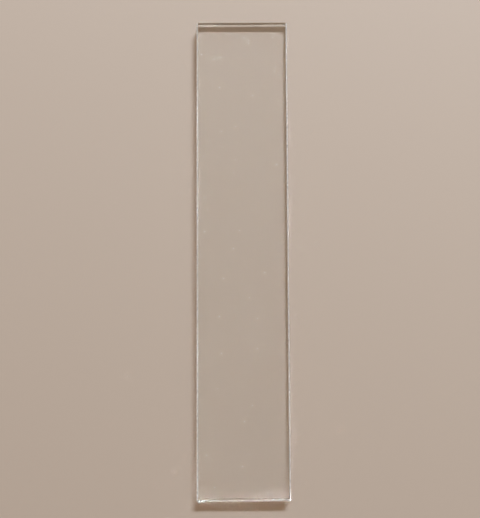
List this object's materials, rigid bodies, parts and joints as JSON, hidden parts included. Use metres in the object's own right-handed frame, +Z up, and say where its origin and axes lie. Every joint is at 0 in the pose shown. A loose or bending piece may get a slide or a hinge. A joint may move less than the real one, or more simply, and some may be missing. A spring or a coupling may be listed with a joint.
{
  "type": "acrylic block",
  "caption": "Long flat clear acrylic block with cut walls and lightly eased edges, for use as a base, spacer, shim or mounting strip.",
  "frame": {"origin": "middle of the flat base, at the centre of the block's length and width", "axes": "+Y along the length towards the clean far end, +X across the width, +Z up through the thickness; the nib is at the low X, low Y corner"},
  "size_m": [0.05, 0.2608, 0.005],
  "materials": {
    "clear_acrylic": "clear cast acrylic, glossy faces and cut edges with fine tool marks"
  },
  "bodies": {
    "root": {"acrylic_block": "clear_acrylic"}
  },
  "joints": []
}
